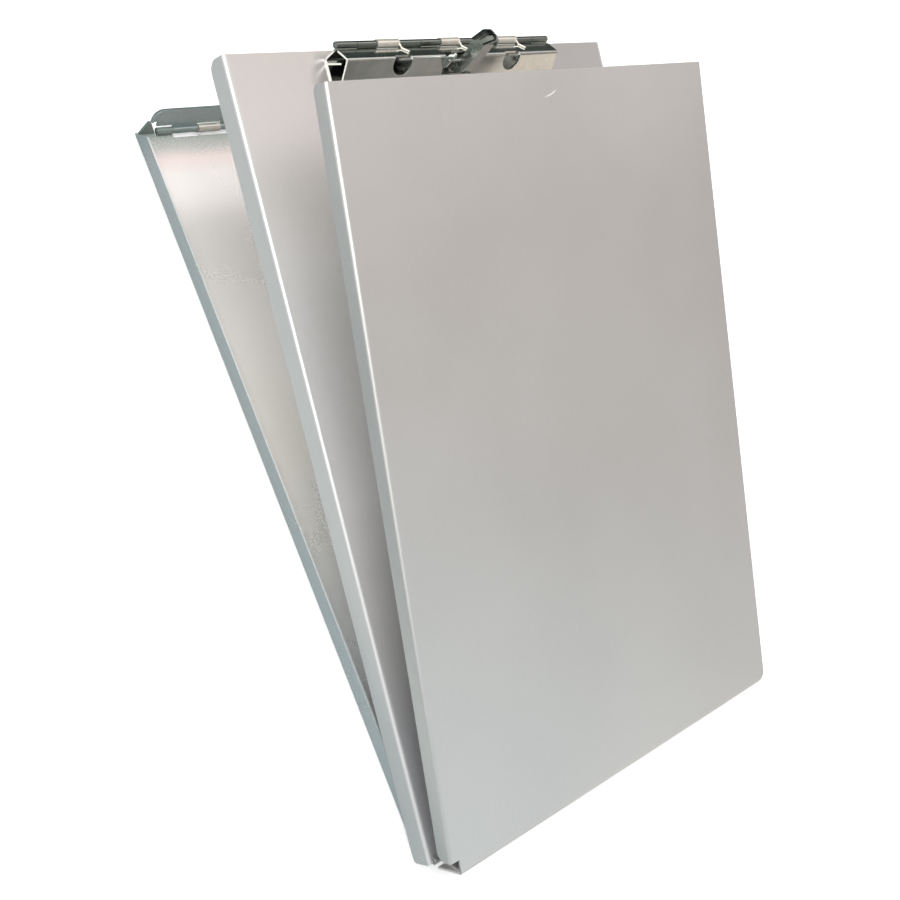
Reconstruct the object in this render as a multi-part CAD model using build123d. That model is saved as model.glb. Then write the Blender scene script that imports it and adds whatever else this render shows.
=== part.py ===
"""Dual-tray form-holder clipboard in sheet aluminium, with a sprung steel clip.

Modelled lying on its back, in millimetres: +X across the width, +Y from the
hinged bottom end towards the clip end, +Z from the back to the writing side.
Every piece is drawn with the holder shut and is then turned about its hinge to
the fanned-open rest position. The origin is the centre of the rear tray's back.
"""
from build123d import *
import math
import os

# ---------------------------------------------------------------- driving sizes
SHEET = 1.0            # aluminium sheet thickness
WIDTH = 235.0          # width over the lid's side flanges
HW = WIDTH / 2
LID_H = 342.0          # lid, bottom bend to top edge
LID_D = 10.2           # lid depth, back of flange to face
TRAY_HW = 116.2        # rear tray half width, nests inside the lid
TRAY_H = 340.9         # rear tray, top end of the floor
TRAY_D = 8.9           # rear tray wall height
TRAY_FLOOR_Y0 = 4.0    # floor's lower edge, above the hinge barrel
BEND_R = 1.5           # outside bend radius of the trays
Y_ORIGIN = 171.0       # origin, measured up from the lid's bottom end

BOX_AX = (1.8, 1.8)    # box hinge axis (y, z)
BOX_KR = 1.8           # its knuckle radius
BOX_PIN_R = 1.0
PLATE_AX = (2.0, 11.9) # writing-plate hinge axis (y, z), holder shut
PLATE_KR = 1.6
PLATE_PIN_R = 0.85
FLAP_AX = (340.5, 2.1) # top flap hinge axis (y, z)
FLAP_KR = 1.6
FLAP_PIN_R = 0.8
RUN = 0.05             # radial running clearance of pins in knuckles

LID_OPEN = 12.05       # lid angle from shut, at rest
PLATE_OPEN = 7.89      # writing plate angle from the lid, at rest
FLAP_LEAN = 20.0       # top flap leaning back from square, at rest

PLATE_Y0 = -2.8        # writing plate's bottom edge
PLATE_H = 320.5        # writing plate, bottom edge to top edge
PLATE_Z = 24.2         # writing plate's outer face, holder shut
PLATE_SIDE_D = 7.6     # its side flange depth
PLATE_END_D = 10.0     # its bottom flange depth
PLATE_SLANT = 12.0     # how far that flange slants back to the hinge
NOTCH_W, NOTCH_H = 5.2, 7.2   # corner relief of the writing plate
CORNER_R = 8.0         # its rounded right lower corner

HINGE_SEG = 15.0       # knuckle pitch of the two long hinges
HINGE_N = 15
HINGE_GAP = 0.4
LEAF_T = 0.8

CLIP_HL = 66.3         # clip half length
CLIP_T = 0.9           # clip sheet thickness
CLIP_KR = 1.5          # clip knuckle radius
CLIP_PIN_R = 0.8
CLIP_AX = (LID_H - 0.4, LID_D + 8.5)
SPRING_R = 1.9         # clip spring coil outside radius
HOLE_D, HOLE_X = 10.8, 34.5
LEVER_AX = (LID_H - 10.8, LID_D + 15.0)
LEVER_PIN_R = 0.7
LEVER_X = (-3.6, 2.0)   # lever stem, left and right cheek
LEVER_T = 1.0
SLOT_HW = 9.3          # lever slot half width

FLAP_HW = 109.5
FLAP_L = 11.5          # flap height above its hinge axis
FLAP_T = 0.9
FLAP_LIP = 0.55


# ---------------------------------------------------------------- helpers
def box(x0, x1, y0, y1, z0, z1):
    return Pos((x0 + x1) / 2, (y0 + y1) / 2, (z0 + z1) / 2) * Box(x1 - x0, y1 - y0, z1 - z0)


def rod(x0, x1, y, z, r):
    """Round bar along X."""
    return Pos((x0 + x1) / 2, y, z) * (Rot(0, 90, 0) * Cylinder(r, x1 - x0))


def rod_z(x, y, z0, z1, r):
    return Pos(x, y, (z0 + z1) / 2) * Cylinder(r, z1 - z0)


def rod_y(x, z, y0, y1, r):
    return Pos(x, (y0 + y1) / 2, z) * (Rot(90, 0, 0) * Cylinder(r, y1 - y0))


def wire(points, r):
    """Round wire along straight runs, rounded at its corners."""
    body = None
    for a, b in zip(points, points[1:]):
        a, b = Vector(*a), Vector(*b)
        run = Plane(origin=a, z_dir=b - a) * Cylinder(r, (b - a).length, align=(Align.CENTER, Align.CENTER, Align.MIN))
        body = run if body is None else body + run
    for p in points[1:-1]:
        body = body + Pos(*p) * Sphere(r)
    return body


def prism(x0, x1, yz):
    """Straight-sided block of the (y, z) outline yz, from x0 to x1."""
    with BuildPart() as p:
        with BuildSketch(Plane.YZ.offset(x0)):
            with BuildLine():
                Polyline(*yz, close=True)
            make_face()
        extrude(amount=x1 - x0)
    return p.part


def strip(x0, x1, pts, t, radii):
    """Bent sheet from x0 to x1. pts (y, z) run along one face; the sheet lies on
    the left of the direction of travel. radii are that face's, one per corner."""
    n = len(pts)
    dirs = []
    for a, b in zip(pts, pts[1:]):
        d = (b[0] - a[0], b[1] - a[1])
        m = math.hypot(*d)
        dirs.append((d[0] / m, d[1] / m))
    nor = [(-d[1], d[0]) for d in dirs]
    off = [(pts[0][0] + nor[0][0] * t, pts[0][1] + nor[0][1] * t)]
    r2 = []
    for i in range(1, n - 1):
        n0, n1 = nor[i - 1], nor[i]
        k = t / (1 + n0[0] * n1[0] + n0[1] * n1[1])
        off.append((pts[i][0] + (n0[0] + n1[0]) * k, pts[i][1] + (n0[1] + n1[1]) * k))
        turn = dirs[i - 1][0] * dirs[i][1] - dirs[i - 1][1] * dirs[i][0]
        r2.append(radii[i - 1] - t if turn > 0 else radii[i - 1] + t)
    off.append((pts[-1][0] + nor[-1][0] * t, pts[-1][1] + nor[-1][1] * t))
    with BuildPart() as p:
        with BuildSketch(Plane.YZ.offset(x0)):
            with BuildLine():
                if n > 2:
                    FilletPolyline(*pts, radius=tuple(radii))
                    FilletPolyline(*off, radius=tuple(r2))
                else:
                    Line(pts[0], pts[1])
                    Line(off[0], off[1])
                Line(pts[0], off[0])
                Line(pts[-1], off[-1])
            make_face()
        extrude(amount=x1 - x0)
    return p.part


def ring(x0, x1, ax, r_out, r_in):
    return rod(x0, x1, ax[0], ax[1], r_out) - rod(x0 - 1, x1 + 1, ax[0], ax[1], r_in)


def turn(shape, ax, deg):
    """Turn about the X-parallel axis through (y, z) = ax."""
    return Pos(0, ax[0], ax[1]) * (Rot(deg, 0, 0) * (Pos(0, -ax[0], -ax[1]) * shape))


def segs(first, count, pitch, start, every):
    """X intervals of a hinge's knuckles, every second one from start."""
    out = []
    for i in range(start, count, every):
        out.append((first + i * pitch + HINGE_GAP / 2, first + (i + 1) * pitch - HINGE_GAP / 2))
    return out


def at_lid(shape):
    return turn(shape, BOX_AX, LID_OPEN)


def at_plate(shape):
    return at_lid(turn(shape, PLATE_AX, PLATE_OPEN))


def at_flap(shape):
    return turn(shape, FLAP_AX, -FLAP_LEAN)


NODES = {}


def keep(name, shape):
    NODES[name] = Pos(0, -Y_ORIGIN, 0) * shape


H0 = -HINGE_N * HINGE_SEG / 2
floor_knuckles = segs(H0, HINGE_N, HINGE_SEG, 0, 2)
lid_knuckles = segs(H0, HINGE_N, HINGE_SEG, 1, 2)

# flap hinge, left half, from the side towards the middle
FLAP_FLOOR_K = [(-105.7, -97.6), (-59.4, -51.2), (-16.0, -8.3)]
FLAP_FLOOR_K += [(-b, -a) for a, b in FLAP_FLOOR_K]
FLAP_K = [(-97.3, -84.5), (-71.9, -59.7)]
FLAP_K += [(-b, -a) for a, b in FLAP_K] + [(-8.0, 8.0)]
FLAP_SPRING = [(-84.2, -72.2), (72.2, 84.2)]

# ---------------------------------------------------------------- rear tray
outer = box(-TRAY_HW, TRAY_HW, TRAY_FLOOR_Y0, TRAY_H, 0, TRAY_D + 4)
outer = fillet(outer.edges().filter_by(Axis.Y).group_by(Axis.Z)[0], BEND_R)
inner = box(-TRAY_HW + SHEET, TRAY_HW - SHEET, TRAY_FLOOR_Y0 - 5, TRAY_H + 5, SHEET, TRAY_D + 9)
inner = fillet(inner.edges().filter_by(Axis.Y).group_by(Axis.Z)[0], BEND_R - SHEET + 0.1)
tray = outer - inner
tray -= box(-150, 150, -10, 400, TRAY_D, 40)
for s in (-1, 1):
    x0, x1 = (-118, -113.4) if s < 0 else (113.4, 118)
    tray -= prism(x0, x1, [(334.8, TRAY_D + 0.01), (340.0, 1.6), (342.5, 1.6), (342.5, 12), (334.8, 12)])
    tray -= prism(x0, x1, [(-1, 1.01), (TRAY_FLOOR_Y0 + 0.01, 1.01), (TRAY_FLOOR_Y0 + 2.5, 12), (-1, 12)])
# floor's top edge set back, except under the knuckles and at the corners
tray -= box(-106.4, 106.4, 338.2, 345, -1, 5)
for a, b in ((-97.45, -59.55), (59.55, 97.45), (-8.15, 8.15)):
    tray -= box(a, b, 337.3, 345, -1, 5)
for a, b in FLAP_FLOOR_K:
    tray += box(a, b, 336.5, FLAP_AX[0], FLAP_AX[1] - FLAP_KR, SHEET)
    tray += ring(a, b, FLAP_AX, FLAP_KR, FLAP_PIN_R + RUN)
    tray -= rod(a - 0.1, b + 0.1, FLAP_AX[0], FLAP_AX[1], FLAP_PIN_R + RUN)
# corner ears turned up from the floor, leaning back a little
for s in (-1, 1):
    ear = Pos(0, 0.9, 0) * (Rot(90, 0, 0) * extrude(make_face(Polyline(
        (s * 114.6, -0.6), (s * 114.5, 0.8), (s * 112.5, 8.2), (s * 111.7, 8.5), (s * 111.0, 8.1),
        (s * 106.2, 0.4), (s * 106.2, -0.6), close=True)), amount=0.9))
    ear = Pos(0, 340.0, 0.5) * (Rot(-12, 0, 0) * ear)
    tray += ear - box(-150, 150, 300, 380, -5, 0)
for a, b in floor_knuckles:
    tray += box(a, b, BOX_AX[0], TRAY_FLOOR_Y0 + 0.5, 0, BOX_KR - BOX_PIN_R - RUN)
    tray += box(a, b, TRAY_FLOOR_Y0 - 0.4, TRAY_FLOOR_Y0 + 0.5, 0, SHEET)
    tray += ring(a, b, BOX_AX, BOX_KR, BOX_PIN_R + RUN)
    tray -= rod(a - 0.1, b + 0.1, BOX_AX[0], BOX_AX[1], BOX_PIN_R + RUN)
keep("rear_tray", tray)
keep("box_hinge_pin", rod(H0 + 0.6, -H0 - 0.6, BOX_AX[0], BOX_AX[1], BOX_PIN_R))
keep("flap_hinge_pin", rod(-106.2, 106.2, FLAP_AX[0], FLAP_AX[1], FLAP_PIN_R))

# ---------------------------------------------------------------- top flap
zf = FLAP_AX[1]
yo = FLAP_AX[0] + FLAP_KR
top_z = zf + FLAP_L
FLAP_CR = 5.0


def flap_block(inset, y0, y1):
    b = box(-FLAP_HW + inset, FLAP_HW - inset, y0, y1, zf - 6, top_z - inset)
    return fillet(b.edges().filter_by(Axis.Y).group_by(Axis.Z)[-1], FLAP_CR - inset)


flap = flap_block(0, yo - FLAP_T - FLAP_LIP, yo) - flap_block(FLAP_T, yo - FLAP_T - FLAP_LIP - 1, yo - FLAP_T)
flap -= box(-150, 150, 300, yo - FLAP_T, zf - 10, zf + 4.6)      # side rims stop above the ears
flap -= box(-150, 150, 300, 350, zf - 10, zf + 2.3)
for x0, x1 in ((-150, -105.9), (105.9, 150)):
    flap -= box(x0, x1, 300, 350, zf - 10, zf + 4.8)             # lower corners clear the tray's ears
for a, b in FLAP_K:
    flap += box(a, b, yo - (FLAP_KR - FLAP_PIN_R - RUN), yo, zf, zf + 2.4)
    flap += ring(a, b, FLAP_AX, FLAP_KR, FLAP_PIN_R + RUN)
    flap -= rod(a - 0.1, b + 0.1, FLAP_AX[0], FLAP_AX[1], FLAP_PIN_R + RUN)
keep("top_flap", at_flap(flap))

# flap springs: coil on the pin, one leg on the floor and one up the flap
FS_R, FS_W = 1.95, 0.35
for name, (a, b) in zip(("flap_spring_left", "flap_spring_right"), FLAP_SPRING):
    coil = ring(a, b, FLAP_AX, FS_R, FS_R - 2 * FS_W)
    lean = math.radians(FLAP_LEAN)
    up = (math.sin(lean), math.cos(lean))
    nrm = (math.cos(lean), -math.sin(lean))
    leg_up = wire([(b - FS_W - 0.1, FLAP_AX[0] + nrm[0] * 0.25 + up[0] * 1.4, FLAP_AX[1] + nrm[1] * 0.25 + up[1] * 1.4),
                   (b - FS_W - 0.1, FLAP_AX[0] + nrm[0] * 0.25 + up[0] * 3.4, FLAP_AX[1] + nrm[1] * 0.25 + up[1] * 3.4)], FS_W)
    leg_dn = wire([(a + FS_W + 0.1, FLAP_AX[0] - 1.3, SHEET + FS_W + 0.02), (a + FS_W + 0.1, FLAP_AX[0] - 3.0, SHEET + FS_W + 0.02)], FS_W)
    keep(name, coil + leg_up + leg_dn)

# ---------------------------------------------------------------- lid (middle tray)
outer = box(-HW, HW, 0, LID_H, -4, LID_D)
outer = fillet(outer.edges().filter_by(Axis.Y).group_by(Axis.Z)[-1]
               + outer.edges().filter_by(Axis.X).group_by(Axis.Z)[-1].group_by(Axis.Y)[0], BEND_R)
inner = box(-HW + SHEET, HW - SHEET, SHEET, LID_H + 5, -9, LID_D - SHEET)
inner = fillet(inner.edges().filter_by(Axis.Y).group_by(Axis.Z)[-1]
               + inner.edges().filter_by(Axis.X).group_by(Axis.Z)[-1].group_by(Axis.Y)[0], BEND_R - SHEET + 0.1)
lid = outer - inner
lid -= box(-200, 200, -50, 400, -50, 0)
for s in (-1, 1):
    x0, x1 = (-119, -115.5) if s < 0 else (115.5, 119)
    # rounded upper and lower back corners of the side flanges
    lid -= box(x0, x1, LID_H - 5, LID_H + 1, -1, 5) - rod(x0, x1, LID_H - 5, 5, 5)
    lid -= box(x0, x1, -1, 1.6, -1, 1.6) - rod(x0, x1, 1.6, 1.6, 1.6)
lid -= box(-115.5, 115.5, -1, 2, -1, 4.0)
for a, b in lid_knuckles:
    lid += box(a, b, 0, BOX_KR - BOX_PIN_R - RUN, BOX_AX[1], 4.2)
    lid += ring(a, b, BOX_AX, BOX_KR, BOX_PIN_R + RUN)
    lid -= rod(a - 0.1, b + 0.1, BOX_AX[0], BOX_AX[1], BOX_PIN_R + RUN)
RIVET_X = (-90.0, -45.0, 0.0, 45.0, 90.0)
CLIP_RIVET_X = (-52.0, -20.0, 20.0, 52.0)
RV = 1.6
for x in RIVET_X:
    lid -= rod_z(x, 10.6, LID_D - 3, LID_D + 3, RV)
for x in CLIP_RIVET_X:
    lid -= rod_z(x, LID_H - 11.0, LID_D - 3, LID_D + 3, RV)
keep("lid_tray", at_lid(lid))

# ---------------------------------------------------------------- clip base leaf
Y, Z = LID_H, LID_D
S_TAB = [(-66.3, -55.2), (55.2, 66.3), (-17.8, -6.3), (6.3, 17.8)]      # base knuckles
J_TAB = [(-54.8, -44.3), (44.3, 54.8), (-30.7, -18.2), (18.2, 30.7)]    # jaw knuckles
SPR = [(-43.8, -31.2), (-5.8, 5.8), (31.2, 43.8)]
base = strip(-CLIP_HL, CLIP_HL, [(Y - 24.5, Z), (Y - 3.3, Z), (Y - 2.1, Z + 6.0)], CLIP_T, [1.6])
for a, b in S_TAB:
    base += strip(a, b, [(Y - 2.14, Z + 5.8), (Y - 1.58, Z + 8.6)], CLIP_T, [])
    base += rod(a, b, CLIP_AX[0], CLIP_AX[1], CLIP_KR)
base -= rod(-70, 70, CLIP_AX[0], CLIP_AX[1], CLIP_PIN_R + RUN)
# end tabs that keep the jaw square
for s in (-1, 1):
    x0, x1 = sorted((s * CLIP_HL, s * (CLIP_HL - 3.5)))
    base += prism(x0, x1, [(Y - 5.8, Z + 0.5), (Y - 5.6, Z + 1.2), (Y - 8.3, Z + 9.6), (Y - 9.1, Z + 9.4), (Y - 6.5, Z + 1.2), (Y - 6.6, Z + 0.5)])
for x in CLIP_RIVET_X:
    base -= rod_z(x, Y - 11.0, Z - 1, Z + 3, RV)
keep("clip_base", at_lid(base))
rv = None
for x in CLIP_RIVET_X:
    one = rod_z(x, Y - 11.0, Z - SHEET - 0.8, Z + CLIP_T + 0.8, RV)
    one += rod_z(x, Y - 11.0, Z + CLIP_T, Z + CLIP_T + 0.8, 2.8) + rod_z(x, Y - 11.0, Z - SHEET - 0.8, Z - SHEET, 2.8)
    one = fillet(one.edges().filter_by(GeomType.CIRCLE).group_by(Axis.Z)[-1], 0.5)
    rv = one if rv is None else rv + one
keep("clip_rivets", at_lid(rv))
keep("clip_hinge_pin", at_lid(rod(-CLIP_HL + 0.2, CLIP_HL - 0.2, CLIP_AX[0], CLIP_AX[1], CLIP_PIN_R)))

# ---------------------------------------------------------------- clip jaw
AP = (Y - 1.5, Z + 8.2)          # where the roof's face would meet the base's
FO = (Y - 8.3, Z + 14.5)         # front fold
LIP0 = (Y - 20.6, Z + 2.95)
LIP1 = (Y - 23.8, Z + 2.15)
du = ((FO[0] - AP[0]) / math.dist(FO, AP), (FO[1] - AP[1]) / math.dist(FO, AP))
dl = ((LIP0[0] - FO[0]) / math.dist(FO, LIP0), (LIP0[1] - FO[1]) / math.dist(FO, LIP0))
start = (AP[0] + du[0] * 1.7, AP[1] + du[1] * 1.7)
jaw = strip(-CLIP_HL, CLIP_HL, [start, FO, LIP0, LIP1], CLIP_T, [1.5, 1.2])
for a, b in J_TAB:
    tab = (AP[0] - du[0] * 0.2, AP[1] - du[1] * 0.2)
    jaw += strip(a, b, [tab, (start[0] + du[0] * 0.3, start[1] + du[1] * 0.3)], CLIP_T, [])
    jaw += rod(a, b, CLIP_AX[0], CLIP_AX[1], CLIP_KR)
jaw -= rod(-70, 70, CLIP_AX[0], CLIP_AX[1], CLIP_PIN_R + RUN)
# round holes punched across the fold
nl = (dl[1], -dl[0])             # outward of the lower leaf
nu = (du[1], -du[0])
for s in (-1, 1):
    c = (FO[0] + dl[0] * 3.0, FO[1] + dl[1] * 3.0)
    jaw -= Plane(origin=(s * HOLE_X, c[0], c[1]), z_dir=(0, nl[0], nl[1])) * Cylinder(HOLE_D / 2, 3.2)
# lever slot, through the fold
SL0, SL1 = -SLOT_HW, SLOT_HW
e = (FO[0] + dl[0] * 9.0, FO[1] + dl[1] * 9.0)
u = (FO[0] - du[0] * 3.6, FO[1] - du[1] * 3.6)
jaw -= prism(SL0, SL1, [(e[0] - nl[0] * 2, e[1] - nl[1] * 2), (e[0] + nl[0] * 2, e[1] + nl[1] * 2),
                        (FO[0] + 0.5, FO[1] + 3), (u[0] + nu[0] * 2, u[1] + nu[1] * 2), (u[0] - nu[0] * 2, u[1] - nu[1] * 2)])
# ears that hold the lever pin, turned out from the slot's sides
L = LEVER_AX
EAR_LO, EAR_HI = (Y - 11.4, Z + 11.6), (Y - 9.5, Z + 18.5)
EAR_R0, EAR_R1 = 1.5, 1.3
for x0, x1 in ((SL0, SL0 + 1.0), (SL1 - 1.0, SL1)):
    d = (EAR_HI[0] - EAR_LO[0], EAR_HI[1] - EAR_LO[1])
    m = math.hypot(*d)
    n_ = (-d[1] / m, d[0] / m)
    jaw += rod(x0, x1, EAR_LO[0], EAR_LO[1], EAR_R0) + rod(x0, x1, EAR_HI[0], EAR_HI[1], EAR_R1) + prism(x0, x1, [
        (EAR_LO[0] + n_[0] * EAR_R0, EAR_LO[1] + n_[1] * EAR_R0), (EAR_HI[0] + n_[0] * EAR_R1, EAR_HI[1] + n_[1] * EAR_R1),
        (EAR_HI[0] - n_[0] * EAR_R1, EAR_HI[1] - n_[1] * EAR_R1), (EAR_LO[0] - n_[0] * EAR_R0, EAR_LO[1] - n_[1] * EAR_R0)])
jaw -= rod(SL0 - 3, SL1 + 3, L[0], L[1], LEVER_PIN_R)
keep("clip_jaw", at_lid(jaw))
pin = rod(SL0 - 0.5, SL1 + 0.5, L[0], L[1], LEVER_PIN_R)
keep("lever_pin", at_lid(pin))

# clip springs: coil on the pin, one leg down the jaw's roof, one behind it
for name, (a, b) in zip(("clip_spring_left", "clip_spring_centre", "clip_spring_right"), SPR):
    w = 0.42
    coil = ring(a, b, CLIP_AX, SPRING_R, SPRING_R - 2 * w)
    p = (AP[0] + du[0] * 5.8 + nu[0] * (w + 0.03), AP[1] + du[1] * 5.8 + nu[1] * (w + 0.03))
    k = (AP[0] + du[0] * 2.4 + nu[0] * (w + 0.03), AP[1] + du[1] * 2.4 + nu[1] * (w + 0.03))
    leg = wire([(b - w - 0.1, CLIP_AX[0] - 0.15, CLIP_AX[1] + SPRING_R - w), (b + 0.3, k[0], k[1]), (b + 2.2, p[0], p[1])], w)
    back = wire([(a + w + 0.1, CLIP_AX[0] - SPRING_R + w + 0.3, CLIP_AX[1] - 0.4), (a + w + 0.1, Y - 3.8, Z + 6.2), (a + w + 0.1, Y - 4.6, Z + 2.2)], w)
    keep(name, at_lid(coil + leg + back))

# ---------------------------------------------------------------- clip lever
def outline(x0, x1, pts, radii):
    """Flat plate of the rounded (y, z) outline pts, from x0 to x1."""
    with BuildPart() as p:
        with BuildSketch(Plane.YZ.offset(x0)):
            with BuildLine():
                FilletPolyline(*pts, radius=tuple(radii), close=True)
            make_face()
        extrude(amount=x1 - x0)
    return p.part


X0, X1 = LEVER_X
LA, LB, LC = (Y - 13.2, Z + 9.0), (Y - 8.5, Z + 21.7), (Y - 5.4, Z + 25.9)
LD, LE, LG = (Y - 5.6, Z + 28.4), (Y - 4.3, Z + 37.6), (Y - 9.7, Z + 41.5)
LH, LJ, LK = (Y - 10.6, Z + 39.8), (Y - 10.2, Z + 32.0), (Y - 11.9, Z + 29.5)
FRONT = [(Y - 13.8, Z + 23.6), (Y - 16.3, Z + 16.0), (Y - 15.9, Z + 13.2), (Y - 14.4, Z + 10.4), LA]
FRONT_R = [3.0, 1.2, 1.0, 0.8, 0.3]
def inset(p, y, z):
    return p[0] + y, p[1] + z


# left cheek runs on up into the thumb tab, the right one stops below it
IB, IC, ID = inset(LB, -0.3, 0.05), inset(LC, -0.3, 0.1), inset(LD, -0.3, 0)
lever = outline(X0, X0 + LEVER_T, [IB, IC, ID, inset(LE, -0.35, -0.2), inset(LG, 0.05, -0.35), LH, LJ, LK] + FRONT,
                [2.0, 2.0, 2.0, 1.8, 0.9, 1.0, 1.2, 1.5] + FRONT_R)
lever += outline(X1 - LEVER_T, X1, [IB, IC, (Y - 5.8, Z + 27.4), (Y - 9.0, Z + 29.6), (Y - 12.0, Z + 29.0)] + FRONT,
                 [2.0, 2.0, 0.6, 0.8, 1.0] + FRONT_R)
# webs along the back and the front of both cheeks
lever += strip(X0, X1, [inset(LA, 0.1, 0.2), LB, LC, inset(LD, 0.0, 0.4)], LEVER_T, [2.0, 2.0])
lever += strip(X0 + 0.02, X1 - 0.02, [inset(LJ, 0.1, 0.9), inset(LK, 0.1, 0.0), (Y - 13.72, Z + 23.55), (Y - 16.1, Z + 16.3)], LEVER_T, [1.5, 3.0])
# thumb tab with a rim round its edge, deeper along the back
r0 = (LD[0] + (LE[0] - LD[0]) * 0.1 + 0.02, LD[1] + (LE[1] - LD[1]) * 0.1)
r2 = (LE[0] + (LG[0] - LE[0]) * 0.55, LE[1] + (LG[1] - LE[1]) * 0.55)
lever += strip(X0 - 3.0, X0 + 0.9, [r0, LE, r2], 1.1, [1.8])
q0, q1 = inset(r2, 0.9, -0.7), inset(LG, 0.02, -0.08)
lever += strip(X0 - 1.0, X0 + 0.8, [q0, q1, inset(LH, 0.08, 0.0), inset(LJ, 0.08, 0.6)], 0.8, [1.0, 1.2])
lever += rod(X0, X1, L[0], L[1], 1.3)
# finger that reaches through the slot and bears on the base leaf
KNEE, HEEL = (Y - 12.1, Z + 8.4), (Y - 18.0, Z + 2.15)
for p, q in ((L, KNEE), (KNEE, HEEL)):
    m = math.dist(p, q)
    n_ = (-(q[1] - p[1]) / m * 0.6, (q[0] - p[0]) / m * 0.6)
    lever += prism(X0, X1, [(p[0] + n_[0], p[1] + n_[1]), (q[0] + n_[0], q[1] + n_[1]),
                                                  (q[0] - n_[0], q[1] - n_[1]), (p[0] - n_[0], p[1] - n_[1])])
    lever += rod(X0, X1, q[0], q[1], 0.6)
lever -= rod(X0 - 5, X1 + 5, L[0], L[1], LEVER_PIN_R + RUN)
keep("clip_lever", at_lid(lever))

# ---------------------------------------------------------------- writing-plate hinge
# lid-side leaf, flat on the lid's face
leaf_b = box(-110.0, 110.0, PLATE_AX[0] + 2.2, 15.0, LID_D, LID_D + LEAF_T)
for a, b in lid_knuckles:
    leaf_b += box(a, b, PLATE_AX[0], PLATE_AX[0] + 2.4, LID_D + 0.1, LID_D + LEAF_T)
    leaf_b += rod(a, b, PLATE_AX[0], PLATE_AX[1], PLATE_KR)
leaf_b -= rod(-120, 120, PLATE_AX[0], PLATE_AX[1], PLATE_PIN_R + RUN)
for x in RIVET_X:
    leaf_b -= rod_z(x, 10.6, LID_D - 1, LID_D + 3, RV)
keep("lid_hinge_leaf", at_lid(leaf_b))
rv = None
for x in RIVET_X:
    one = rod_z(x, 10.6, LID_D - SHEET - 0.7, LID_D + LEAF_T + 0.8, RV)
    one += rod_z(x, 10.6, LID_D + LEAF_T, LID_D + LEAF_T + 0.8, 3.0) + rod_z(x, 10.6, LID_D - SHEET - 0.7, LID_D - SHEET, 2.7)
    one = fillet(one.edges().filter_by(GeomType.CIRCLE).group_by(Axis.Z)[-1], 0.5)
    rv = one if rv is None else rv + one
keep("lid_hinge_rivets", at_lid(rv))
keep("plate_hinge_pin", at_lid(rod(-116.1, 116.1, PLATE_AX[0], PLATE_AX[1], PLATE_PIN_R)))

# plate-side leaf, on the inside of the bottom flange; both are drawn square and
# then slanted about the flange's corner (FY, PLATE_Z)
FY = PLATE_Y0 + BEND_R - BEND_R * math.tan(math.radians(45 + PLATE_SLANT / 2))
sl = math.radians(PLATE_SLANT)
AZ = PLATE_Z - (PLATE_AX[0] - FY) * math.sin(sl) - (PLATE_Z - PLATE_AX[1]) * math.cos(sl)


def on_flange(shape):
    return turn(shape, (FY, PLATE_Z), PLATE_SLANT)


leaf_a = box(-111.8, 111.8, FY + SHEET, FY + SHEET + LEAF_T, AZ + 2.2, 22.0)
for a, b in floor_knuckles:
    leaf_a += box(a, b, FY + SHEET, FY + SHEET + 0.72, AZ, AZ + 2.4)
leaf_a = on_flange(leaf_a)
for a, b in floor_knuckles:
    leaf_a += rod(a, b, PLATE_AX[0], PLATE_AX[1], PLATE_KR)
# the end knuckles run on to the lid's side walls
for a, b in ((-116.3, floor_knuckles[0][0] + 0.5), (floor_knuckles[-1][1] - 0.5, 116.3)):
    leaf_a += rod(a, b, PLATE_AX[0], PLATE_AX[1], PLATE_KR)
leaf_a -= rod(-120, 120, PLATE_AX[0], PLATE_AX[1], PLATE_PIN_R + RUN)
for x in RIVET_X:
    leaf_a -= on_flange(rod_y(x, 18.0, FY - 3, FY + 4, RV))
keep("plate_hinge_leaf", at_plate(leaf_a))
rv = None
for x in RIVET_X:
    one = rod_y(x, 18.0, FY, FY + SHEET + LEAF_T + 0.8, RV)
    one += rod_y(x, 18.0, FY + SHEET + LEAF_T, FY + SHEET + LEAF_T + 0.8, 2.8)
    one = fillet(one.edges().filter_by(GeomType.CIRCLE).group_by(Axis.Y)[-1], 0.5)
    rv = one if rv is None else rv + one
keep("plate_hinge_rivets", at_plate(on_flange(rv)))

# ---------------------------------------------------------------- writing plate
yt = PLATE_Y0 + PLATE_H
outer = box(-HW, HW, PLATE_Y0, yt, 0, PLATE_Z)
outer = fillet(outer.edges().filter_by(Axis.Y).group_by(Axis.Z)[-1]
               + outer.edges().filter_by(Axis.X).group_by(Axis.Z)[-1].group_by(Axis.Y)[0], BEND_R)
inner = box(-HW + SHEET, HW - SHEET, PLATE_Y0 + SHEET, yt + 5, -5, PLATE_Z - SHEET)
inner = fillet(inner.edges().filter_by(Axis.Y).group_by(Axis.Z)[-1]
               + inner.edges().filter_by(Axis.X).group_by(Axis.Z)[-1].group_by(Axis.Y)[0], BEND_R - SHEET + 0.1)
plate = outer - inner
plate -= box(-200, 200, PLATE_Y0 + SHEET + 0.6, 400, -20, PLATE_Z - PLATE_SIDE_D)
plate -= box(-200, 200, -20, 20, -20, PLATE_Z - PLATE_END_D)
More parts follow.
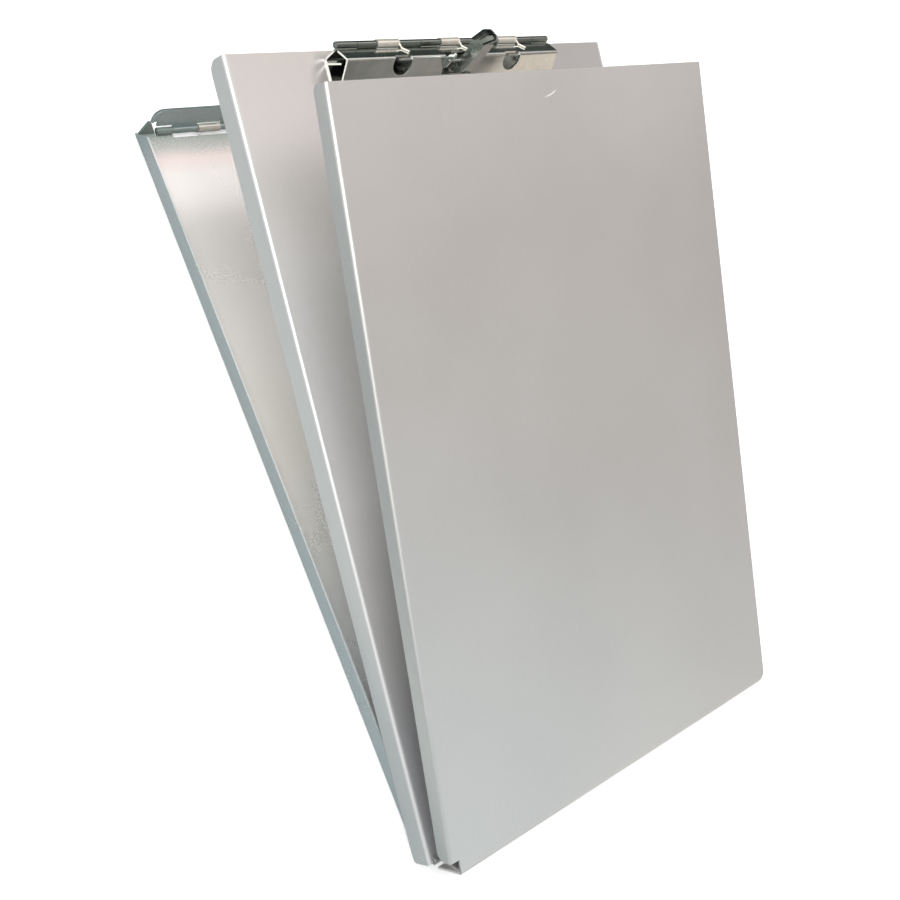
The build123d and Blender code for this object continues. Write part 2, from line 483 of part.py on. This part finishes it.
# bottom flange, slanted
plate -= box(-HW + NOTCH_W, HW - NOTCH_W, -20, PLATE_Y0 + 2.6, -5, PLATE_Z + 1)
plate += strip(-HW + NOTCH_W, HW - NOTCH_W, [(PLATE_Y0 + 2.6, PLATE_Z), (FY, PLATE_Z),
               (FY + PLATE_END_D * math.sin(sl), PLATE_Z - PLATE_END_D * math.cos(sl))], SHEET, [BEND_R])
for s in (-1, 1):
    x0, x1 = (-HW - 1, -HW + NOTCH_W) if s < 0 else (HW - NOTCH_W, HW + 1)
    if s < 0:
        plate -= box(x0, x1, -20, PLATE_Y0 + NOTCH_H, -5, PLATE_Z + 1)
    else:
        # flanges relieved, the face's corner rounded
        plate -= box(x0, x1, -20, PLATE_Y0 + NOTCH_H, -5, PLATE_Z - SHEET)
        r = CORNER_R
        plate -= (box(HW - r, HW + 1, PLATE_Y0 - 1, PLATE_Y0 + r, PLATE_Z - 8, PLATE_Z + 1)
                  - rod_z(HW - r, PLATE_Y0 + r, PLATE_Z - 9, PLATE_Z + 2, r))
    x0, x1 = (-HW - 1, -HW + 2) if s < 0 else (HW - 2, HW + 1)
    yc, zc, r = PLATE_Y0 + NOTCH_H + 4, PLATE_Z - PLATE_SIDE_D + 4, 4
    plate -= box(x0, x1, yc - 5, yc, zc - 5, zc) - rod(x0, x1, yc, zc, r)
    plate -= box(x0, x1, yt - 3, yt + 1, zc - 5, zc - 1) - rod(x0, x1, yt - 3, zc - 1, 3)
# the flange's left end widens toward its lower edge
ends = [(-HW + NOTCH_W + 0.5, PLATE_Z - 1.6), (-HW + NOTCH_W, PLATE_Z - 1.6),
        (-HW + NOTCH_W - 3.7, PLATE_Z - PLATE_END_D - 0.6), (-HW + NOTCH_W + 3.0, PLATE_Z - PLATE_END_D - 0.6),
        (-HW + NOTCH_W + 4.0, PLATE_Z - PLATE_END_D + 0.4), (-HW + NOTCH_W + 0.5, PLATE_Z - PLATE_END_D + 0.4)]
with BuildPart() as tab:
    with BuildSketch(Plane.XZ.offset(-FY)):
        with BuildLine():
            Polyline(*ends, close=True)
        make_face()
    extrude(amount=-SHEET)
plate += on_flange(tab.part)
for x in RIVET_X:
    plate -= on_flange(rod_y(x, 18.0, FY - 3, FY + 4, RV))
keep("front_plate", at_plate(plate))

# ---------------------------------------------------------------- write the parts
os.makedirs("parts", exist_ok=True)
for name, shape in NODES.items():
    export_step(shape, f"parts/{name}.step")
    print(name, len(shape.solids()), round(shape.volume, 1))
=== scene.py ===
import bpy
import bmesh
import math
import random
from mathutils import Matrix, Vector

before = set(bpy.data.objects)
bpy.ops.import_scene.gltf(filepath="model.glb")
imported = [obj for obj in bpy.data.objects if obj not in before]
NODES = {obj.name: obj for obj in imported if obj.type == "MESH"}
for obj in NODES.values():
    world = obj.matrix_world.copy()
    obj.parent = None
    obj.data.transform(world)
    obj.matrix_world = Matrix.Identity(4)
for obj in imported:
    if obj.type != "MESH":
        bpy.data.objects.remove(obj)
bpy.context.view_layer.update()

scene = bpy.context.scene
scene.view_settings.view_transform = "Standard"
scene.view_settings.look = "None"

# ------------------------------------------------------------------ camera
cam_data = bpy.data.cameras.new("camera")
cam_data.sensor_width = 36.0
cam_data.lens = 50.38
cam_data.clip_start, cam_data.clip_end = 0.01, 20.0
cam = bpy.data.objects.new("camera", cam_data)
scene.collection.objects.link(cam)
right = Vector((0.71178, -0.37135, 0.59621)).normalized()
forward = Vector((0.66189, 0.07049, -0.74628))
forward = (forward - right * forward.dot(right)).normalized()
up = right.cross(forward)
cam.matrix_world = Matrix((
    (right.x, up.x, -forward.x, -0.41949),
    (right.y, up.y, -forward.y, 0.11943 - 0.171),
    (right.z, up.z, -forward.z, 0.4598),
    (0, 0, 0, 1)))
scene.camera = cam


# ------------------------------------------------------------------ node helpers
class Mat:
    """Small helper that builds a node material."""

    def __init__(self, name):
        self.m = bpy.data.materials.new(name)
        self.m.use_nodes = True
        self.t = self.m.node_tree
        self.b = self.t.nodes["Principled BSDF"]
        self.co = self.node("ShaderNodeTexCoord").outputs["Object"]

    def node(self, kind, **props):
        n = self.t.nodes.new(kind)
        for k, v in props.items():
            setattr(n, k, v)
        return n

    def link(self, a, b):
        self.t.links.new(a, b)

    def mapping(self, scale=(1, 1, 1), rot=(0, 0, 0)):
        n = self.node("ShaderNodeMapping")
        n.inputs["Scale"].default_value = scale
        n.inputs["Rotation"].default_value = rot
        self.link(self.co, n.inputs["Vector"])
        return n.outputs["Vector"]

    def noise(self, scale, detail=3.0, rough=0.5, vec=None, distort=0.0):
        n = self.node("ShaderNodeTexNoise")
        n.inputs["Scale"].default_value = scale
        n.inputs["Detail"].default_value = detail
        n.inputs["Roughness"].default_value = rough
        n.inputs["Distortion"].default_value = distort
        self.link(vec if vec is not None else self.co, n.inputs["Vector"])
        return n.outputs["Fac"]

    def ramp(self, fac, stops):
        n = self.node("ShaderNodeValToRGB")
        cr = n.color_ramp
        while len(cr.elements) < len(stops):
            cr.elements.new(0.5)
        for e, (p, c) in zip(cr.elements, stops):
            e.position = p
            e.color = (*c, 1.0) if len(c) == 3 else c
        self.link(fac, n.inputs["Fac"])
        return n.outputs["Color"]

    def maprange(self, fac, a, b, c, d):
        n = self.node("ShaderNodeMapRange")
        n.inputs["From Min"].default_value = a
        n.inputs["From Max"].default_value = b
        n.inputs["To Min"].default_value = c
        n.inputs["To Max"].default_value = d
        self.link(fac, n.inputs["Value"])
        return n.outputs["Result"]

    def math(self, op, a, b):
        n = self.node("ShaderNodeMath", operation=op)
        for i, v in enumerate((a, b)):
            if isinstance(v, (int, float)):
                n.inputs[i].default_value = v
            else:
                self.link(v, n.inputs[i])
        return n.outputs[0]

    def mix(self, fac, a, b):
        n = self.node("ShaderNodeMix", data_type="RGBA")
        if isinstance(fac, (int, float)):
            n.inputs[0].default_value = fac
        else:
            self.link(fac, n.inputs[0])
        for i, v in ((6, a), (7, b)):
            if isinstance(v, tuple):
                n.inputs[i].default_value = (*v, 1.0)
            else:
                self.link(v, n.inputs[i])
        return n.outputs[2]

    def mul(self, a, b):
        n = self.node("ShaderNodeMix", data_type="RGBA", blend_type="MULTIPLY")
        n.inputs[0].default_value = 1.0
        self.link(a, n.inputs[6])
        self.link(b, n.inputs[7])
        return n.outputs[2]

    def edge(self, radius, lo_, hi_):
        """0 on flat faces, 1 on worn edges."""
        bev = self.node("ShaderNodeBevel", samples=4)
        bev.inputs["Radius"].default_value = radius
        geo = self.node("ShaderNodeNewGeometry")
        dot = self.node("ShaderNodeVectorMath", operation="DOT_PRODUCT")
        self.link(bev.outputs["Normal"], dot.inputs[0])
        self.link(geo.outputs["Normal"], dot.inputs[1])
        return self.maprange(dot.outputs["Value"], hi_, lo_, 0.0, 1.0)

    def bump(self, height, strength, dist, soft=None):
        n = self.node("ShaderNodeBump")
        n.inputs["Strength"].default_value = strength
        n.inputs["Distance"].default_value = dist
        self.link(height, n.inputs["Height"])
        if soft is not None:
            bev = self.node("ShaderNodeBevel", samples=4)
            bev.inputs["Radius"].default_value = soft
            self.link(bev.outputs["Normal"], n.inputs["Normal"])
        self.link(n.outputs["Normal"], self.b.inputs["Normal"])


def sheet_metal(name, dark, mid, light, rough=(0.28, 0.36), streak=0.5, tilt=0.0, metal=0.85, painted_shade=None, arc=None):
    """Mill-finish sheet: rolling streaks along Y, soft clouding, faint handling
    marks, brighter worn edges; optionally painted shade and reflection along the
    face and a flat, darker painted-shade colour on the side walls."""
    m = Mat(name)
    streaks = m.noise(1.0, 4, 0.6, m.mapping((900, 14, 900), (0, 0, tilt)))
    cloud = m.noise(11, 3, 0.5)
    fine = m.noise(2600, 2, 0.5)
    f = m.math("ADD", m.math("MULTIPLY", streaks, streak), m.math("MULTIPLY", cloud, 1 - streak))
    col = m.ramp(f, [(0.34, dark), (0.5, mid), (0.66, light)])
    wear = m.edge(0.0006, 0.80, 0.985)
    col = m.mix(m.math("MULTIPLY", wear, 0.45), col, tuple(min(1.0, c * 1.12) for c in light))
    if painted_shade:
        # painted shade and reflection: a colour ramp along Y darkens and tints the face where shade and reflections
        # fall; the side walls get one flat, darker colour, also painted shade
        pos = m.node("ShaderNodeSeparateXYZ")
        m.link(m.co, pos.inputs[0])
        along = m.math("ADD", m.maprange(pos.outputs["Y"], painted_shade[0], painted_shade[0] + 0.342, 0.0, 1.0),
                       m.math("MULTIPLY", m.math("SUBTRACT", cloud, 0.5), 0.08))
        shade_col = m.ramp(along, painted_shade[1])
        face = m.maprange(m.math("ABSOLUTE", pos.outputs["X"], 0.0), 0.1150, 0.1168, 0.0, 1.0)
        # painted shade: the face also darkens and turns bluer across X
        if len(painted_shade) > 3:
            shade_col = m.mul(shade_col, m.ramp(m.maprange(pos.outputs["X"], painted_shade[3][0], painted_shade[3][1], 0.0, 1.0), [(0.0, (1, 1, 1)), (1.0, painted_shade[3][2])]))
        col = m.mix(face, m.mul(col, shade_col), painted_shade[2])
    m.link(col, m.b.inputs["Base Color"])
    m.b.inputs["Metallic"].default_value = metal
    if arc:
        # one short curved scratch: a piece of a ring about the point arc[0]
        gap = m.node("ShaderNodeVectorMath", operation="DISTANCE")
        m.link(m.co, gap.inputs[0])
        gap.inputs[1].default_value = arc[0]
        off = m.math("ABSOLUTE", m.math("SUBTRACT", gap.outputs["Value"], arc[1]), 0.0)
        line = m.maprange(off, 0.00040, 0.00012, 0.0, 1.0)
        pos = m.node("ShaderNodeSeparateXYZ")
        m.link(m.co, pos.inputs[0])
        ends = m.math("MULTIPLY", m.maprange(pos.outputs["X"], arc[2], arc[2] + 0.003, 0.0, 1.0),
                      m.maprange(pos.outputs["X"], arc[3], arc[3] - 0.002, 0.0, 1.0))
        below = m.maprange(pos.outputs["Y"], arc[0][1], arc[0][1] - 0.004, 0.0, 1.0)
        line = m.math("MULTIPLY", m.math("MULTIPLY", line, ends), below)
        m.link(m.mix(line, col, (1.0, 0.99, 0.97)), m.b.inputs["Base Color"])
        m.link(m.maprange(line, 0.0, 1.0, metal, 0.1), m.b.inputs["Metallic"])
    scr = m.node("ShaderNodeTexVoronoi", feature="DISTANCE_TO_EDGE")
    scr.inputs["Scale"].default_value = 1.0
    m.link(m.mapping((70, 21, 70), (0, 0, 0.5)), scr.inputs["Vector"])
    scratch = m.maprange(scr.outputs["Distance"], 0.0, 0.012, 1.0, 0.0)
    patch = m.maprange(m.noise(23, 2, 0.5), 0.55, 0.72, 0.0, 1.0)
    scratch = m.math("MULTIPLY", scratch, patch)
    r = m.maprange(m.math("ADD", m.math("MULTIPLY", cloud, 0.88), m.math("MULTIPLY", fine, 0.12)), 0.3, 0.7, *rough)
    r = m.math("ADD", r, m.math("MULTIPLY", scratch, 0.05))
    m.link(r, m.b.inputs["Roughness"])
    h = m.math("ADD", m.math("MULTIPLY", streaks, 0.6), m.math("MULTIPLY", fine, 0.18))
    h = m.math("SUBTRACT", h, m.math("MULTIPLY", scratch, 0.16))
    m.bump(h, 0.035, 0.0002, 0.0004)
    return m.m


def plated(name, dark, mid, light, rough=(0.14, 0.22), painted_rim_shade=False, barrel=None, rub=0.7):
    """Nickel-plated spring steel: mottled grey plate with pits and rubbed edges."""
    m = Mat(name)
    cloud = m.noise(160, 4, 0.6, distort=0.6)
    fine = m.noise(3800, 2, 0.5)
    col = m.ramp(cloud, [(0.32, dark), (0.52, mid), (0.68, light)])
    wear = m.edge(0.0004, 0.75, 0.97)
    col = m.mix(m.math("MULTIPLY", wear, rub), col, (0.92, 0.90, 0.85))
    if barrel:
        # painted shade: the knuckles round the barrel's axis are darkened to a dark green, standing in for their dark
        # reflection band
        pos = m.node("ShaderNodeSeparateXYZ")
        m.link(m.co, pos.inputs[0])
        dy = m.math("SUBTRACT", pos.outputs["Y"], barrel[0])
        dz = m.math("SUBTRACT", pos.outputs["Z"], barrel[1])
        away = m.math("SQRT", m.math("ADD", m.math("MULTIPLY", dy, dy), m.math("MULTIPLY", dz, dz)), 0.0)
        barrel_shade = m.maprange(away, 0.0029, 0.0025, 0.0, 0.8)
        col = m.mix(barrel_shade, col, (0.21, 0.25, 0.22))
    if painted_rim_shade:
        # painted shade: a near-black rim on the outer side of the thumb tab, where its edge lies in shadow
        pos = m.node("ShaderNodeSeparateXYZ")
        m.link(m.co, pos.inputs[0])
        rim = m.maprange(pos.outputs["X"], -0.0038, -0.0041, 0.0, 1.0)
        col = m.mix(rim, col, (0.06, 0.07, 0.065))
    m.link(col, m.b.inputs["Base Color"])
    m.b.inputs["Metallic"].default_value = 1.0
    pit = m.node("ShaderNodeTexVoronoi")
    pit.inputs["Scale"].default_value = 900
    m.link(m.co, pit.inputs["Vector"])
    pits = m.maprange(pit.outputs["Distance"], 0.0, 0.14, 1.0, 0.0)
    r = m.maprange(cloud, 0.3, 0.7, *rough)
    r = m.math("ADD", r, m.math("MULTIPLY", pits, 0.12))
    m.link(r, m.b.inputs["Roughness"])
    h = m.math("SUBTRACT", m.math("MULTIPLY", fine, 0.4), m.math("MULTIPLY", pits, 0.5))
    m.bump(h, 0.10, 0.0001, 0.0002)
    return m.m


def turned(name, dark, light, rough=(0.2, 0.3), rings=2600, metal=1.0):
    """Drawn wire and pins: fine draw rings round the bar."""
    m = Mat(name)
    draw = m.noise(1.0, 3, 0.6, m.mapping((rings, 200, 200)))
    cloud = m.noise(300, 3, 0.5)
    f = m.math("ADD", m.math("MULTIPLY", draw, 0.5), m.math("MULTIPLY", cloud, 0.5))
    col = m.ramp(f, [(0.35, dark), (0.65, light)])
    wear = m.edge(0.0003, 0.75, 0.97)
    col = m.mix(m.math("MULTIPLY", wear, 0.5), col, tuple(min(1.0, c * 1.2) for c in light))
    m.link(col, m.b.inputs["Base Color"])
    m.b.inputs["Metallic"].default_value = metal
    m.link(m.maprange(f, 0.3, 0.7, *rough), m.b.inputs["Roughness"])
    m.bump(draw, 0.08, 0.0001, 0.00015)
    return m.m


tray_y0 = min((v.co.y for v in NODES["rear_tray"].data.vertices))
# painted reflection and shade: the pink line and dark band at the tray's high-Y end stand in for the flap reflected in
# the floor; the walls' flat bluish grey is painted shade
M_TRAY = sheet_metal("tray_sheet", (0.94, 0.935, 0.92), (0.955, 0.95, 0.94), (0.97, 0.965, 0.955), (0.24, 0.32), metal=0.42,
                     painted_shade=(tray_y0, [(0.0, (0.94, 1.0, 1.0)), (0.30, (0.97, 1.0, 1.0)), (0.55, (1.0, 0.98, 0.94)), (0.75, (1.0, 0.985, 0.965)),
                                     (0.925, (1.0, 0.985, 0.97)), (0.95, (0.98, 0.87, 0.85)), (0.968, (0.60, 0.62, 0.60)), (1.0, (0.28, 0.36, 0.34))],
                           (0.60, 0.68, 0.71)))
lid_y0 = min((v.co.y for v in NODES["lid_tray"].data.vertices))
# painted shade: the lid's face darkens towards both Y ends, most at the low-Y end, and towards +X; its walls get a
# flat, darker grey
M_LID = sheet_metal("lid_sheet", (0.92, 0.915, 0.905), (0.94, 0.935, 0.93), (0.96, 0.955, 0.95), (0.27, 0.35), metal=0.47,
                    painted_shade=(lid_y0, [(0.0, (0.62, 0.63, 0.65)), (0.13, (0.60, 0.615, 0.64)), (0.26, (0.75, 0.75, 0.75)), (0.44, (1.0, 1.0, 1.0)),
                                   (0.72, (0.98, 0.98, 0.98)), (0.86, (0.85, 0.825, 0.81)), (1.0, (0.74, 0.70, 0.68))],
                          (0.86, 0.87, 0.87), (0.045, 0.085, (0.73, 0.755, 0.77))))
centre = NODES["front_plate"].matrix_world.inverted() @ Vector((-0.00167, 0.12955, 0.13388))
M_PLATE = sheet_metal("plate_sheet", (0.85, 0.845, 0.83), (0.875, 0.87, 0.855), (0.895, 0.89, 0.88), streak=0.35, metal=0.8,
                      arc=(tuple(centre), 0.0200, 0.0002, 0.0092))
# painted shade: the flap's sheet is darker and bluer than the other sheets, for its face that lies in shadow
M_FLAP_SHADED = sheet_metal("flap_sheet", (0.44, 0.54, 0.55), (0.51, 0.60, 0.61), (0.59, 0.67, 0.68), metal=0.85)
M_LEAF = sheet_metal("leaf_sheet", (0.56, 0.56, 0.55), (0.61, 0.61, 0.60), (0.66, 0.66, 0.65), (0.3, 0.4), 0.6, 1.5708)


def axis_of(node, y, z):
    p = NODES[node].matrix_world.inverted() @ Vector((0.0, y, z))
    return (p.y, p.z)


CLIP_TONES = ((0.60, 0.63, 0.60), (0.66, 0.69, 0.66), (0.72, 0.74, 0.71), (0.11, 0.18))
M_CLIP_BASE = plated("clip_base_plate", *CLIP_TONES, barrel=axis_of("clip_base", 0.159585, 0.089266), rub=0.1)
M_CLIP_JAW = plated("clip_jaw_plate", *CLIP_TONES, barrel=axis_of("clip_jaw", 0.159585, 0.089266))
M_LEVER = plated("lever_plate", (0.50, 0.52, 0.49), (0.56, 0.58, 0.55), (0.62, 0.64, 0.61), (0.2, 0.3), painted_rim_shade=True)
M_SPRING = turned("spring_wire", (0.84, 0.80, 0.71), (0.97, 0.94, 0.87), (0.16, 0.26), 400, 0.7)
M_PIN = turned("pin_steel", (0.40, 0.40, 0.39), (0.56, 0.56, 0.55))
M_RIVET = sheet_metal("rivet_metal", (0.54, 0.54, 0.53), (0.60, 0.60, 0.59), (0.68, 0.68, 0.67), (0.26, 0.38), 0.2)

PAINT = {
    "rear_tray": M_TRAY, "lid_tray": M_LID, "front_plate": M_PLATE, "top_flap": M_FLAP_SHADED,
    "box_hinge_pin": M_PIN, "flap_hinge_pin": M_PIN, "clip_hinge_pin": M_PIN, "lever_pin": M_PIN,
    "plate_hinge_pin": M_PIN, "flap_spring_left": M_SPRING, "flap_spring_right": M_SPRING,
    "clip_spring_left": M_SPRING, "clip_spring_centre": M_SPRING, "clip_spring_right": M_SPRING,
    "clip_base": M_CLIP_BASE, "clip_jaw": M_CLIP_JAW, "clip_lever": M_LEVER, "clip_rivets": M_RIVET,
    "lid_hinge_rivets": M_RIVET, "plate_hinge_rivets": M_RIVET, "lid_hinge_leaf": M_LEAF,
    "plate_hinge_leaf": M_LEAF,
}
for name, ob in NODES.items():
    mat = PAINT[name]
    if not ob.data.materials:
        ob.data.materials.append(mat)
    for i in range(len(ob.material_slots)):
        ob.material_slots[i].material = mat

# ------------------------------------------------------------------ floor
me = bpy.data.meshes.new("floor")
bm = bmesh.new()
bmesh.ops.create_grid(bm, x_segments=8, y_segments=8, size=6.0)
bm.to_mesh(me)
bm.free()
floor = bpy.data.objects.new("floor", me)
floor.location.z = -0.0002
scene.collection.objects.link(floor)
fm = Mat("floor_card")
fm.link(fm.ramp(fm.noise(3, 2, 0.5), [(0.3, (0.93, 0.93, 0.93)), (0.7, (0.95, 0.95, 0.95))]), fm.b.inputs["Base Color"])
fm.b.inputs["Roughness"].default_value = 0.9
fm.b.inputs["Specular IOR Level"].default_value = 0.1
fm.b.inputs["Emission Color"].default_value = (1, 1, 1, 1)
fm.b.inputs["Emission Strength"].default_value = 0.35
floor.data.materials.append(fm.m)
floor.visible_glossy = False
floor.visible_diffuse = False
table = bpy.data.objects.new("table", me.copy())
table.location.z = -0.0006
scene.collection.objects.link(table)
tm = Mat("table_card")
across = tm.node("ShaderNodeSeparateXYZ")
tm.link(tm.co, across.inputs[0])
across = tm.math("ADD", across.outputs["X"], tm.math("MULTIPLY", tm.math("SUBTRACT", tm.noise(3, 2, 0.5), 0.5), 0.05))
T0, T1 = -0.30, 0.20
bands = [(-0.30, (0.66, 0.68, 0.67)), (-0.25, (0.58, 0.61, 0.61)), (-0.225, (0.44, 0.495, 0.50)), (-0.185, (0.37, 0.43, 0.44)), (-0.167, (0.42, 0.48, 0.49)), (-0.153, (0.74, 0.80, 0.79)),
         (-0.138, (0.74, 0.80, 0.79)), (-0.130, (0.36, 0.44, 0.455)), (-0.05, (0.41, 0.475, 0.485)), (0.14, (0.78, 0.72, 0.68))]
tcol = tm.ramp(tm.maprange(across, T0, T1, 0.0, 1.0), [((p - T0) / (T1 - T0), c) for p, c in bands])
far = tm.node("ShaderNodeSeparateXYZ")
tm.link(tm.co, far.inputs[0])
tcol = tm.mix(tm.maprange(far.outputs["Y"], 0.30, 0.42, 0.0, 1.0), tcol, (0.10, 0.14, 0.12))
tm.link(tcol, tm.b.inputs["Base Color"])
tm.b.inputs["Roughness"].default_value = 0.9
tm.b.inputs["Specular IOR Level"].default_value = 0.1
table.data.materials.clear()
table.data.materials.append(tm.m)
# pale backdrop round the floor, seen by the camera only
me = bpy.data.meshes.new("backdrop")
bm = bmesh.new()
bmesh.ops.create_cone(bm, cap_ends=False, segments=96, radius1=5.8, radius2=5.8, depth=9.0)
bm.to_mesh(me)
bm.free()
backdrop = bpy.data.objects.new("backdrop", me)
backdrop.location.z = 4.4
scene.collection.objects.link(backdrop)
bd = Mat("backdrop_card")
bd.link(bd.ramp(bd.noise(0.6, 2, 0.5), [(0.3, (0.90, 0.90, 0.90)), (0.7, (0.93, 0.93, 0.93))]), bd.b.inputs["Emission Color"])
bd.b.inputs["Base Color"].default_value = (0.02, 0.02, 0.02, 1)
bd.b.inputs["Roughness"].default_value = 1.0
bd.b.inputs["Specular IOR Level"].default_value = 0.0
bd.b.inputs["Emission Strength"].default_value = 1.0
backdrop.data.materials.append(bd.m)
backdrop.visible_glossy = False
backdrop.visible_diffuse = False
backdrop.visible_shadow = False


# ------------------------------------------------------------------ light
world = bpy.data.worlds.new("studio")
scene.world = world
world.use_nodes = True
wt = world.node_tree
bg = wt.nodes["Background"]
tc = wt.nodes.new("ShaderNodeTexCoord")
sep = wt.nodes.new("ShaderNodeSeparateXYZ")
wt.links.new(tc.outputs["Generated"], sep.inputs[0])
mr = wt.nodes.new("ShaderNodeMapRange")
mr.inputs["From Min"].default_value = -1.0
mr.inputs["From Max"].default_value = 1.0
wt.links.new(sep.outputs["Y"], mr.inputs["Value"])
ramp = wt.nodes.new("ShaderNodeValToRGB")
STOPS = [(-0.95, (0.52, 0.59, 0.60)), (-0.72, (0.53, 0.61, 0.635)), (-0.58, (0.50, 0.56, 0.575)),
         (-0.46, (0.43, 0.405, 0.39)), (-0.20, (0.44, 0.395, 0.375)), (0.0, (0.60, 0.55, 0.53)), (0.10, (0.95, 0.90, 0.87)),
         (0.30, (1.15, 1.09, 1.06)), (0.52, (1.05, 1.0, 0.99)), (0.72, (0.16, 0.19, 0.18)), (0.90, (0.10, 0.12, 0.11))]
el = ramp.color_ramp.elements
while len(el) < len(STOPS):
    el.new(0.5)
for e, (p, c) in zip(el, STOPS):
    e.position = (p + 1) / 2
    e.color = (*c, 1)
wt.links.new(mr.outputs["Result"], ramp.inputs["Fac"])
side = wt.nodes.new("ShaderNodeMapRange")
for key, v in (("From Min", 0.62), ("From Max", 0.84), ("To Min", 1.02), ("To Max", 0.85)):
    side.inputs[key].default_value = v
wt.links.new(sep.outputs["X"], side.inputs["Value"])
shade = wt.nodes.new("ShaderNodeVectorMath")
shade.operation = "SCALE"
def world_math(op, a, b):
    n = wt.nodes.new("ShaderNodeMath")
    n.operation = op
    for i, v in enumerate((a, b)):
        if isinstance(v, (int, float)):
            n.inputs[i].default_value = v
        else:
            wt.links.new(v, n.inputs[i])
    return n.outputs[0]


def world_step(value, a, b):
    n = wt.nodes.new("ShaderNodeMapRange")
    n.inputs["From Min"].default_value = a
    n.inputs["From Max"].default_value = b
    wt.links.new(value, n.inputs["Value"])
    return n.outputs["Result"]


# warm reflector low in front, on the right
glow = world_math("MULTIPLY", world_step(sep.outputs["Y"], -0.45, -0.60),
                  world_math("MULTIPLY", world_step(sep.outputs["X"], 0.45, 0.60), world_step(sep.outputs["Z"], 0.36, 0.26)))
warm = wt.nodes.new("ShaderNodeMix")
warm.data_type = "RGBA"
wt.links.new(glow, warm.inputs[0])
wt.links.new(ramp.outputs["Color"], warm.inputs[6])
warm.inputs[7].default_value = (1.0, 0.86, 0.76, 1.0)
wt.links.new(warm.outputs[2], shade.inputs[0])
# the dark far wall of the studio, low behind the top edge
low = world_math("MULTIPLY", world_step(sep.outputs["Y"], 0.24, 0.34), world_step(sep.outputs["Z"], 0.62, 0.50))
soft = world_math("ADD", 0.78, world_math("MULTIPLY", world_step(sep.outputs["X"], 0.05, 0.40), 0.22))
dim = world_math("MULTIPLY", world_math("MULTIPLY", side.outputs["Result"], soft), world_math("SUBTRACT", 1.0, world_math("MULTIPLY", low, 0.8)))
wt.links.new(dim, shade.inputs["Scale"])
wt.links.new(shade.outputs["Vector"], bg.inputs["Color"])
bg.inputs["Strength"].default_value = 1.0


def area(name, loc, target, sx, sy, watts, colour=(1, 1, 1)):
    ld = bpy.data.lights.new(name, "AREA")
    ld.shape = "RECTANGLE"
    ld.size, ld.size_y = sx, sy
    ld.energy = watts
    ld.color = colour
    lo_ = bpy.data.objects.new(name, ld)
    lo_.location = loc
    lo_.rotation_euler = (Vector(target) - Vector(loc)).to_track_quat("-Z", "Y").to_euler()
    scene.collection.objects.link(lo_)
    return lo_


area("overhead", (-0.9, 0.3, 1.8), (0, 0, 0), 1.6, 1.6, 26)
area("side", (-1.6, -0.4, 0.9), (0, 0, 0), 1.0, 1.0, 3)
end = area("end", (0.5, 1.5, 0.5), (0, 0.1, 0.05), 1.2, 0.6, 18)
end.visible_glossy = False
